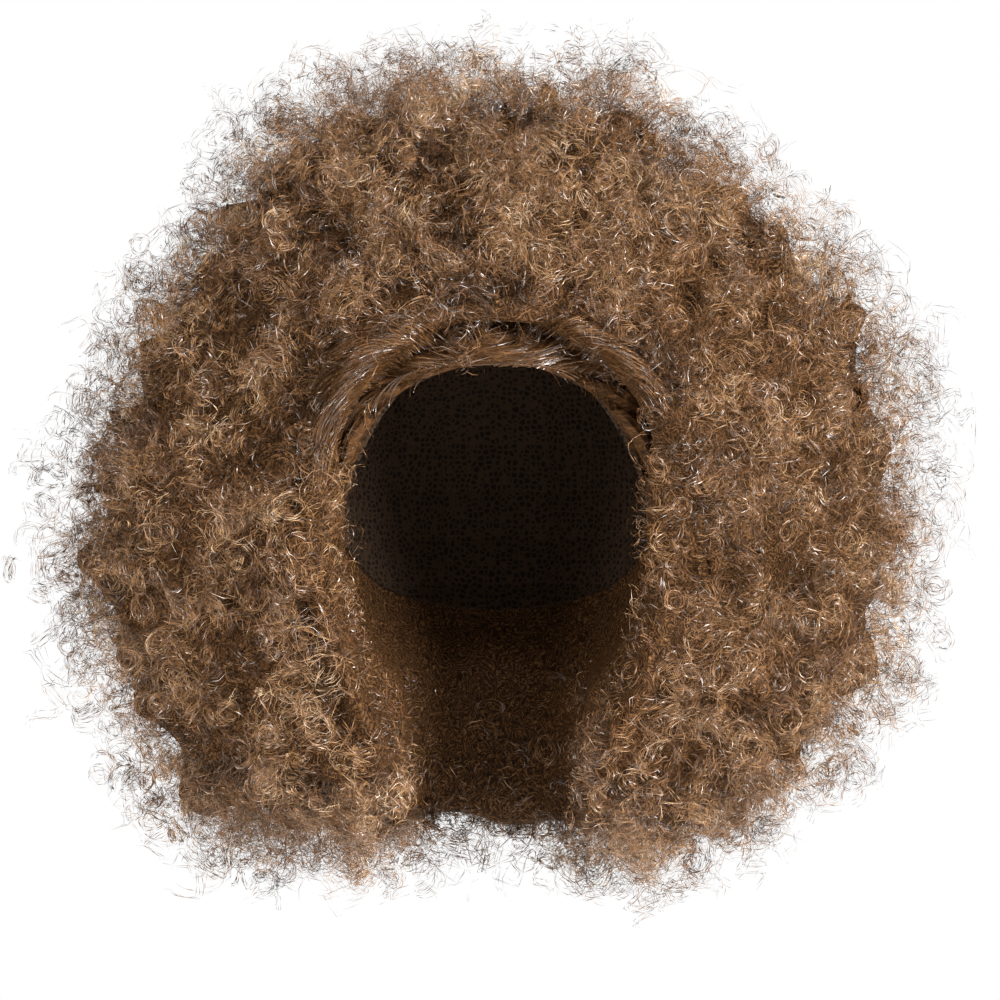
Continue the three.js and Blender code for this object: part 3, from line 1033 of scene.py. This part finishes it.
@dataclass
class Ribbons:
    """Turns wires into thin ribbons.

    A crimped strand takes one triangle for each step, as a flat fibre seen flat and edge-on by turns.
    A smooth one takes two.

    Attributes:
        head: The head's room.
        material: What the strands are made of.
        smooth: Whether the strands keep their width and aren't crimped.
        stray: Least and most that a strand reaches into the room for the face and neck before it ends.
        under_cap: How deep a strand may lie under the outside of the cap.
        hidden: A strand this deep inside the bed doesn't show and is left out.
        heights: Heights over the bed of the deepest, the best lit and the outermost hairs.
        shades: Painted shade and light: how much darker or paler these are drawn. The deep ones are darkened as
            painted shade where little light reaches, the best lit ones paled as painted light, and the outermost
            darkened as painted shade of backlit hairs.
        painted_overhang_shade: Painted shade: how much darker the strands just above the hairline are drawn, for the
            shade under the hair that overhangs them.
        seed: Seed of the ribbons' turns and of the choice of strands.
    """

    head: HeadSpace
    material: bpy.types.Material
    smooth: bool = False
    stray: tuple[float, float] = (0.5 * MM, 10 * MM)
    under_cap: float = 0.8 * MM
    hidden: float = 1.2 * MM
    heights: tuple[float, float, float] = (0.0, 14 * MM, 28 * MM)
    shades: tuple[float, float, float] = (-0.28, 0.13, -0.22)
    painted_overhang_shade: float = 0.24
    seed: int = 5

    def build(self, name: str, wires: bpy.types.Mesh, bed: BVHTree | None, budget: int) -> bpy.types.Object:
        """Build the ribbons of one piece.

        Args:
            name: Name of the piece.
            wires: The strands as runs of edges.
            bed: The bed that hides what is inside it.
            budget: Most triangles.

        Returns:
            The piece.
        """
        rng = np.random.default_rng(self.seed)
        points = kept_near_solids(points_of(wires))
        strand = attribute_of(wires, Attribute.STRAND).astype(int)
        count = strand.max() + 1
        height = np.full(len(points), self.heights[1] / 2) if bed is None else self.height(points, bed)
        shown = height > -self.hidden
        limit = self.stray[0] + (self.stray[1] - self.stray[0]) * rng.random(count) ** 2
        free = self.head.opening_depth(points) < limit[strand]
        free &= self.head.cap_depth(points) < self.under_cap
        step = np.arange(len(points) - 1)
        whole = (strand[step] == strand[step + 1]) & (shown[step] | shown[step + 1]) & free[step] & free[step + 1]
        most = budget // 2 if self.smooth else budget
        log.info("%s: %.2f of its most triangles", name, whole.sum() / most)
        if whole.sum() > most:
            whole &= (rng.random(count) < most / whole.sum() * 0.995)[strand[step]]
        step = step[whole]
        first = np.searchsorted(strand, np.arange(count))
        wide = ((np.arange(len(points)) - first[strand]) % 2 == 0) | self.smooth
        across = np.cross(np.gradient(points, axis=0), rng.normal(size=(count, 3))[strand])
        across /= np.maximum(np.linalg.norm(across, axis=1, keepdims=True), 1e-9)
        half = across * (attribute_of(wires, Attribute.WIDTH) * np.where(wide, 0.5, 0.0))[:, None]
        opening = wide[step]
        left, right = 2 * step, 2 * step + 1
        faces = np.where(
            opening[:, None],
            np.stack([left, right, left + 2], axis=1),
            np.stack([left, right + 2, left + 2], axis=1),
        )
        if self.smooth:
            faces = np.concatenate([faces, np.stack([right, right + 2, left + 2], axis=1)])
        used, faces = np.unique(faces, return_inverse=True)
        both = np.stack([points - half, points + half], axis=1).reshape(-1, 3)
        mesh = mesh_from(name, both[used], faces.reshape(-1, 3))
        # Painted shade and light: strands deep in the bed are darkened, those at the best lit height paled, and the
        # outermost darkened as backlit hairs.
        tone = attribute_of(wires, Attribute.TONE_AND_SHADE) + np.interp(height, self.heights, self.shades)
        # Painted shade: strands just above the hairline are darkened for the shade under the hair that overhangs
        # them.
        tone -= self.painted_overhang_shade * self.head.overhang_shade_mask(points)
        set_attribute(mesh, Attribute.TONE_AND_SHADE, tone[used // 2])
        set_attribute(mesh, Attribute.ALONG, attribute_of(wires, Attribute.ALONG)[used // 2])
        mesh.materials.append(self.material)
        bpy.data.meshes.remove(wires)
        return object_from(name, mesh)

    def height(self, points: np.ndarray, bed: BVHTree) -> np.ndarray:
        """Give how high each point lies over the bed, below 0 inside it."""
        heights = np.empty(len(points))
        for k, point in enumerate(points):
            near, normal, _, _ = bed.find_nearest(point)
            heights[k] = (Vector(point) - near).dot(normal)
        return heights


class GrowthTree(StrandTree):
    """Grows ringlets, loose loops and fuzz on the bed."""

    inputs = (
        ("Ringlets per m2", "NodeSocketFloat", "ringlets"),
        ("Loops per m2", "NodeSocketFloat", "loops"),
        ("Fuzz per m2", "NodeSocketFloat", "fuzz"),
        ("Ring radius", "NodeSocketFloat", "ring_radius"),
        ("Loop radius", "NodeSocketFloat", "loop_radius"),
        ("Fuzz length", "NodeSocketFloat", "fuzz_length"),
        ("Strand width", "NodeSocketFloat", "width"),
        ("Loose strand width", "NodeSocketFloat", "loose_width"),
        ("Lift", "NodeSocketFloat", "lift"),
        ("Seed", "NodeSocketInt", "seed"),
    )

    def __init__(self, material: bpy.types.Material) -> None:
        """Build the tree for strands of one material."""
        super().__init__("curl_growth")
        together = self.node("GeometryNodeJoinGeometry")
        for k, kind in enumerate((RINGLET, LOOP, FUZZ)):
            curls = self.planted(kind, 10 * (k + 1))
            if kind is FUZZ:
                curls = self.frizzed(curls, 17 * MM, 13 * MM, kind.strands)
            width = self.source.outputs[kind.width]
            self.tree.links.new(self.widened(curls, width, kind.tip, kind.strands), together.inputs[0])
        shared = self.frizzed(together.outputs[0], 17 * MM, 4.6 * MM, 0)
        self.wires(self.frizzed(shared, 8 * MM, 1.0 * MM, 1), material)

    def planted(self, kind: CurlKind, seed: int) -> bpy.types.NodeSocket:
        """Scatter one kind of curl on the bed by the bed's growth attribute.

        Args:
            kind: The kind of curl.
            seed: Offset of the seeds.

        Returns:
            The realized curves.
        """
        growth = self.node("GeometryNodeInputNamedAttribute", inputs={"Name": Attribute.GROWTH.value}).outputs[0]
        points = self.node(
            "GeometryNodeDistributePointsOnFaces",
            {"distribute_method": "RANDOM"},
            {
                "Mesh": self.source.outputs[0],
                "Density": self.math("MULTIPLY", growth, self.source.outputs[kind.amount]),
                "Seed": self.seeded(seed),
            },
        )
        lift = self.node("GeometryNodeInputNamedAttribute", inputs={"Name": Attribute.LIFT.value}).outputs[0]
        height = self.math("MULTIPLY", self.random(*kind.rise, seed), self.source.outputs["Lift"])
        rise = self.node(
            "ShaderNodeVectorMath",
            {"operation": "SCALE"},
            {0: points.outputs["Normal"], 3: self.math("MULTIPLY", height, lift)},
        )
        raised = self.node(
            "GeometryNodeSetPosition", inputs={"Geometry": points.outputs["Points"], "Offset": rise.outputs[0]}
        )
        lean = self.node(
            "FunctionNodeRandomValue",
            {"data_type": "FLOAT_VECTOR"},
            {0: (-kind.lean, -kind.lean, 0.0), 1: (kind.lean, kind.lean, 2 * math.pi), 8: self.seeded(seed + 1)},
        )
        turned = self.node(
            "FunctionNodeRotateRotation",
            {"rotation_space": "LOCAL"},
            {0: points.outputs["Rotation"], 1: lean.outputs[0]},
        )
        together = self.node("GeometryNodeJoinGeometry")
        for k in range(len(kind.versions)):
            self.tree.links.new(self.bundle(kind, k, seed), together.inputs[0])
        pick = self.node(
            "FunctionNodeRandomValue",
            {"data_type": "INT"},
            {4: 0, 5: len(kind.versions) - 1, 8: self.seeded(seed + 2)},
        )
        placed = self.node(
            "GeometryNodeInstanceOnPoints",
            inputs={
                "Points": raised.outputs[0],
                "Instance": together.outputs[0],
                "Pick Instance": True,
                "Instance Index": pick.outputs[2],
                "Rotation": turned.outputs[0],
                "Scale": self.math("MULTIPLY", self.random(*kind.spread, seed + 3), self.source.outputs[kind.size]),
            },
        )
        return self.node("GeometryNodeRealizeInstances", inputs={0: placed.outputs[0]}).outputs[0]

    def bundle(self, kind: CurlKind, version: int, seed: int) -> bpy.types.NodeSocket:
        """Make one version of a curl as strands that lie beside each other.

        Args:
            kind: The kind of curl.
            version: Which version.
            seed: Offset of the seeds.

        Returns:
            The bundle as one instance.
        """
        turns, start, end, height = kind.versions[version]
        spiral = self.node(
            "GeometryNodeCurveSpiral",
            inputs={
                "Resolution": kind.points,
                "Rotations": turns,
                "Start Radius": start,
                "End Radius": end,
                "Height": height,
                "Reverse": version % 2 == 1,
            },
        )
        copies = self.node(
            "GeometryNodeDuplicateElements",
            {"domain": "SPLINE"},
            {"Geometry": spiral.outputs[0], "Amount": kind.strands},
        )
        number = copies.outputs["Duplicate Index"]
        aside = self.node(
            "FunctionNodeRandomValue",
            {"data_type": "FLOAT_VECTOR"},
            {0: (-kind.stray,) * 3, 1: (kind.stray,) * 3, 7: number, 8: 100 + seed + version},
        )
        nested = self.node(
            "FunctionNodeRandomValue",
            {"data_type": "FLOAT"},
            {2: 1 - 1.6 * kind.nest, 3: 1 + 0.4 * kind.nest, 7: number, 8: 200 + seed + version},
        )
        place = self.node("GeometryNodeInputPosition").outputs[0]
        scaled = self.node("ShaderNodeVectorMath", {"operation": "SCALE"}, {0: place, 3: nested.outputs[1]})
        moved = self.node(
            "GeometryNodeSetPosition",
            inputs={
                "Geometry": copies.outputs["Geometry"],
                "Position": scaled.outputs[0],
                "Offset": aside.outputs[0],
            },
        )
        return self.node("GeometryNodeGeometryToInstance", inputs={0: moved.outputs[0]}).outputs[0]


@dataclass
class CurlPanel:
    """The loose curls of one panel of hair.

    Attributes:
        node: The CAD panel that they stand for.
        sizes: The curls' sizes.
        budget: Most triangles.
    """

    node: str
    sizes: CurlSizes
    budget: int

    def build(self, part: bpy.types.Mesh, bed: BVHTree, tree: GrowthTree, ribbons: Ribbons) -> bpy.types.Object:
        """Grow the panel's curls on its part of the bed.

        Args:
            part: The panel's part of the bed.
            bed: The whole bed.
            tree: The growth tree.
            ribbons: What turns wires into strands.

        Returns:
            The finished piece.
        """
        name = self.node.replace("_hair", "_curls")
        piece = ribbons.build(name, tree.grow(name, part, self.sizes), bed, self.budget)
        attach(piece, "root")
        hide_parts(self.node)
        return piece


class PathTree(StrandTree):
    """Turns drawn paths into strands."""

    inputs = (
        ("Strand width", "NodeSocketFloat", "width"),
        ("Frizz", "NodeSocketFloat", "frizz"),
        ("Seed", "NodeSocketInt", "seed"),
    )

    def __init__(self, material: bpy.types.Material) -> None:
        """Build the tree for strands of one material."""
        super().__init__("path_strands")
        curves = self.node("GeometryNodeMeshToCurve", inputs={0: self.source.outputs[0]}).outputs[0]
        curves = self.widened(curves, self.source.outputs["Strand width"], 0.5, 1)
        curves = self.frizzed(curves, 26 * MM, 2.4 * MM, 0)
        self.wires(self.frizzed(curves, 12 * MM, 0.5 * MM, 1), material)


@dataclass
class CombedHair:
    """Hair combed up and outwards from a parting along the forehead.

    Attributes:
        head: The head's room.
        count: Number of strands.
        steps: Points on a strand.
        budget: Most triangles.
        parting: Where the hair parts, as an angle round the face opening in degrees.
        reach: Left end, thickest place and right end of the row of roots, in degrees.
        sweep: Least and most that a strand runs along the hairline, in degrees.
        rise: Least and most that it climbs off the hairline.
        lift: Least and most that the strands stand off the hair under them.
        strays: How many of the strands fall on the forehead.
        droop: Least and most that these fall below the hairline.
        width: Width of a strand.
        frizz: Not used: the strands' tree takes it as its Frizz input but never reads it.
        seed: Seed of everything random.
    """

    head: HeadSpace
    count: int = 2800
    steps: int = 13
    budget: int = 64000
    parting: float = -3.0
    reach: tuple[float, float, float] = (-56.0, -20.0, 36.0)
    sweep: tuple[float, float] = (10.0, 32.0)
    rise: tuple[float, float] = (5 * MM, 28 * MM)
    lift: tuple[float, float] = (0.4 * MM, 4 * MM)
    strays: int = 70
    droop: tuple[float, float] = (3 * MM, 13 * MM)
    width: float = 0.36 * MM
    frizz: float = 1.0
    seed: int = 11

    def build(self, bed: BVHTree) -> list[bpy.types.Object]:
        """Build the dense hair and the strands over it.

        Args:
            bed: The curls' bed, which the strands run up to.

        Returns:
            The finished pieces.
        """
        rng = np.random.default_rng(self.seed)
        fibre = CurlyFibre(
            name="combed_modacrylic_fibre",
            shades=((0.0, "#332010"), (0.4, "#6b4829"), (0.75, "#9c744a"), (1.0, "#d0ab7e")),
            # The darker roots are painted shade: at the hairline the roots lie in shadow.
            root="#4d3219",
            root_length=0.3,
            patch_mm=18.0,
            patch_depth=0.5,
        ).material()
        base = self.base()
        surface = BVHTree.FromObject(base, bpy.context.evaluated_depsgraph_get())
        wires = PathTree(fibre).grow("combed_hair", self.paths(rng, (surface, bed)), self)
        strands = Ribbons(self.head, fibre, smooth=True).build("combed_hair", wires, None, self.budget)
        for piece in (strands, base):
            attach(piece, "root")
            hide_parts("hairline_sweep")
        return [base, strands]

    def base(self) -> bpy.types.Object:
        """Smooth a copy of the solid as the dense hair under the strands."""
        part = merged_copy("hairline_sweep")
        bmesh.ops.smooth_vert(part, verts=part.verts, factor=0.5, use_axis_x=True, use_axis_y=True, use_axis_z=True)
        mesh = bpy.data.meshes.new("combed_bed")
        part.to_mesh(mesh)
        part.free()
        mesh.materials.append(CombedMat().material())
        return object_from("combed_bed", mesh)

    def hairline(self, angle: np.ndarray) -> tuple[np.ndarray, np.ndarray]:
        """Give points of the hairline and the directions away from the face.

        Args:
            angle: Angles round the face opening in degrees, from its top.

        Returns:
            Rows of x and z, and rows of unit directions.
        """
        power = self.head.face_power[0]
        turn = np.radians(angle)
        x = self.head.face_half[0] * np.sign(turn) * np.abs(np.sin(turn)) ** (2 / power)
        z = self.head.face_middle + self.head.face_half[1] * np.abs(np.cos(turn)) ** (2 / power)
        across = np.abs(x / self.head.face_half[0]) ** (power - 1) / self.head.face_half[0] * np.sign(x)
        up = np.abs((z - self.head.face_middle) / self.head.face_half[1]) ** (power - 1) / self.head.face_half[1]
        away = np.stack([across, up], axis=-1)
        return np.stack([x, z], axis=-1), away / np.linalg.norm(away, axis=-1, keepdims=True)

    def paths(self, rng: np.random.Generator, surfaces: tuple[BVHTree, ...]) -> bpy.types.Mesh:
        """Draw the strands as runs of edges.

        Args:
            rng: The source of random numbers.
            surfaces: The dense hair that they lie on.

        Returns:
            The runs as a mesh.
        """
        root = rng.triangular(*self.reach, self.count)
        side = np.where(root < self.parting + rng.normal(0, 1.5, self.count), -1.0, 1.0)
        along = np.linspace(0, 1, self.steps)[None, :]
        sweep = rng.uniform(*self.sweep, self.count)[:, None]
        angle = root[:, None] + side[:, None] * sweep * along**0.8
        place, away = self.hairline(np.clip(angle, -100, 100))
        row = rng.uniform(0, 1, self.count)[:, None]
        top = np.interp(np.abs(root), (20.0, 55.0), (self.rise[1], self.rise[1] / 3))
        climb = (self.rise[0] + (top - self.rise[0]) * rng.uniform(0, 1, self.count))[:, None]
        off = (row * 6 - 1.5) * MM + climb * (1 - np.exp(-2.4 * along))
        off[-self.strays :] = -rng.uniform(*self.droop, self.strays)[:, None] * along**1.6
        flat = place + away * off[..., None]
        flat = flat.reshape(-1, 2)
        radii = self.head.radii
        share = (flat[:, 0] / radii[0]) ** 2 + ((flat[:, 1] - self.head.middle[2]) / radii[2]) ** 2
        skin = -radii[1] * np.sqrt(1 - np.minimum(share, 0.9))
        y = np.array([self.front_of(surfaces, x, z, back) for (x, z), back in zip(flat, skin)])
        stand = self.lift[0] + (self.lift[1] - self.lift[0]) * rng.uniform(0, 1, self.count)[:, None] * along**0.5
        points = np.stack([flat[:, 0], y - stand.ravel(), flat[:, 1]], axis=-1)
        first = np.arange(self.count * self.steps).reshape(self.count, self.steps)
        edges = np.stack([first[:, :-1].ravel(), first[:, 1:].ravel()], axis=1)
        mesh = bpy.data.meshes.new("combed_paths")
        mesh.from_pydata(points.tolist(), edges.tolist(), [])
        return mesh

    def front_of(self, surfaces: tuple[BVHTree, ...], x: float, z: float, skin: float) -> float:
        """Give how far forward the dense hair reaches at a place in front view, or else the cap."""
        hits = [surface.ray_cast(Vector((x, -0.3, z)), Vector((0.0, 1.0, 0.0)))[0] for surface in surfaces]
        return min([hit.y for hit in hits if hit is not None] + [skin])


def split_bed(bed: bpy.types.Object, nodes: tuple[str, ...]) -> dict[str, bpy.types.Mesh]:
    """Share the bed's faces among the panels of hair that they lie nearest to.

    Args:
        bed: The whole bed.
        nodes: The panels.

    Returns:
        A mesh for each panel.
    """
    trees = {}
    for node in nodes:
        part = merged_copy(node)
        trees[node] = BVHTree.FromBMesh(part)
        part.free()
    centres = [face.center for face in bed.data.polygons]
    distances = np.array([[trees[node].find_nearest(centre)[3] for node in nodes] for centre in centres])
    owner = distances.argmin(axis=1)
    parts = {}
    for k, node in enumerate(nodes):
        part = bmesh.new()
        part.from_mesh(bed.data)
        part.faces.ensure_lookup_table()
        others = [part.faces[int(i)] for i in np.flatnonzero(owner != k)]
        bmesh.ops.delete(part, geom=others, context="FACES")
        parts[node] = bpy.data.meshes.new(node + "_bed")
        part.to_mesh(parts[node])
        part.free()
    return parts


@dataclass
class StretchCap:
    """The cap, whose inside shows through the face opening."""

    finish: StretchNet = field(default_factory=StretchNet)

    def build(self) -> None:
        """Dress the CAD cap, whose shape is right as it is."""
        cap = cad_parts["cap"]
        for slot in cap.material_slots:
            slot.material = self.finish.material()


@dataclass
class Studio:
    """Plain pale floor, white surround, soft lights and the camera.

    Attributes:
        camera_distance: From the widest section of the hair to the camera.
        frame_width: Width that the picture takes in there.
        floor_drop: Floor below the crown.
        surround_light: How strongly the white surround lights the wig.
    """

    camera_distance: float = 3.0
    frame_width: float = 0.44
    aim: tuple[float, float, float] = (1.8 * MM, 30 * MM, -98.6 * MM)
    floor_drop: float = 0.56
    surround_light: float = 0.28
    floor_size: float = 3.2

    def build(self) -> None:
        """Build the floor, the lights and the camera."""
        self.floor()
        self.surround()
        self.light("key_light", (1.45, -1.6, 0.35), 0.7, 116.0)
        self.light("fill_light", (-1.5, -1.6, 0.3), 0.9, 47.0)
        self.light("rim_light", (0.6, 1.6, 1.1), 1.2, 20.0)
        self.camera()

    def floor(self) -> None:
        """Lay a plain pale floor well below the wig."""
        half = self.floor_size / 2
        mesh = bpy.data.meshes.new("floor")
        corners = [(-half, -half), (half, -half), (half, half), (-half, half)]
        mesh.from_pydata([(x, y, -self.floor_drop) for x, y in corners], [], [(0, 1, 2, 3)])
        material = bpy.data.materials.new("painted_studio_floor")
        material.use_nodes = True
        surface = material.node_tree.nodes["Principled BSDF"]
        surface.inputs["Base Color"].default_value = linear("#f2f1ee")
        surface.inputs["Roughness"].default_value = 0.7
        mesh.materials.append(material)
        object_from("floor", mesh)

    def surround(self) -> None:
        """Surround the scene with even white."""
        world = bpy.data.worlds.new("white_surround")
        world.use_nodes = True
        tree = world.node_tree
        seen = add_node(tree, "ShaderNodeLightPath").outputs["Is Camera Ray"]
        strength = add_node(
            tree, "ShaderNodeMapRange", inputs={"Value": seen, "To Min": self.surround_light, "To Max": 1.0}
        )
        background = tree.nodes["Background"]
        background.inputs["Color"].default_value = (1.0, 1.0, 1.0, 1.0)
        tree.links.new(strength.outputs["Result"], background.inputs["Strength"])
        bpy.context.scene.world = world
        bpy.context.scene.view_settings.view_transform = "Standard"

    def light(self, name: str, place: tuple[float, float, float], size: float, power: float) -> None:
        """Hang a square soft light that faces the hair.

        Args:
            name: The light's name.
            place: Where it hangs.
            size: Its side.
            power: Its power in watts.
        """
        lamp = bpy.data.lights.new(name, "AREA")
        lamp.size = size
        lamp.energy = power
        holder = bpy.data.objects.new(name, lamp)
        holder.location = place
        holder.rotation_euler = (Vector(self.aim) - Vector(place)).to_track_quat("-Z", "Y").to_euler()
        bpy.context.scene.collection.objects.link(holder)

    def camera(self) -> None:
        """Place the camera straight in front, level with the middle of the picture."""
        lens = bpy.data.cameras.new("camera")
        lens.sensor_width = 36.0
        lens.lens = lens.sensor_width * self.camera_distance / self.frame_width
        lens.clip_end = 20.0
        holder = bpy.data.objects.new("camera", lens)
        holder.location = (self.aim[0], self.aim[1] - self.camera_distance, self.aim[2])
        holder.rotation_euler = (math.pi / 2, 0.0, 0.0)
        bpy.context.scene.collection.objects.link(holder)
        bpy.context.scene.camera = holder


def main() -> None:
    """Build the wig's pieces in order and report each."""
    logging.basicConfig(level=logging.INFO, format="%(message)s")
    Studio().build()
    log.info("studio ready")
    StretchCap().build()
    log.info("cap dressed")
    head = HeadSpace()
    panels = [
        CurlPanel("front_hair", CurlSizes(15000, 17000, 22500, 1), 172000),
        CurlPanel("crown_hair", CurlSizes(11000, 13000, 17000, 2), 48000),
        CurlPanel("left_hair", CurlSizes(8000, 9200, 12400, 3), 198000),
        CurlPanel("right_hair", CurlSizes(9000, 10300, 13700, 4), 198000),
        CurlPanel("back_hair", CurlSizes(6200, 8400, 11500, 5, width=0.6 * MM, loose_width=0.5 * MM), 150000),
        CurlPanel("nape_hair", CurlSizes(2500, 3600, 5600, 6, width=0.6 * MM, loose_width=0.5 * MM), 120000),
    ]
    nodes = tuple(panel.node for panel in panels)
    bed = CurlBed(head, nodes).build()
    log.info("curl_bed: %d triangles", 2 * len(bed.data.polygons))
    parts = split_bed(bed, nodes)
    surface = BVHTree.FromObject(bed, bpy.context.evaluated_depsgraph_get())
    fibre = CurlyFibre().material()
    tree = GrowthTree(fibre)
    ribbons = Ribbons(head, fibre)
    for panel in panels:
        piece = panel.build(parts[panel.node], surface, tree, ribbons)
        log.info("%s: %d triangles", piece.name, len(piece.data.polygons))
    for piece in CombedHair(head).build(surface):
        log.info("%s: %d triangles", piece.name, len(piece.data.polygons))


if __name__ == "__main__":
    main()
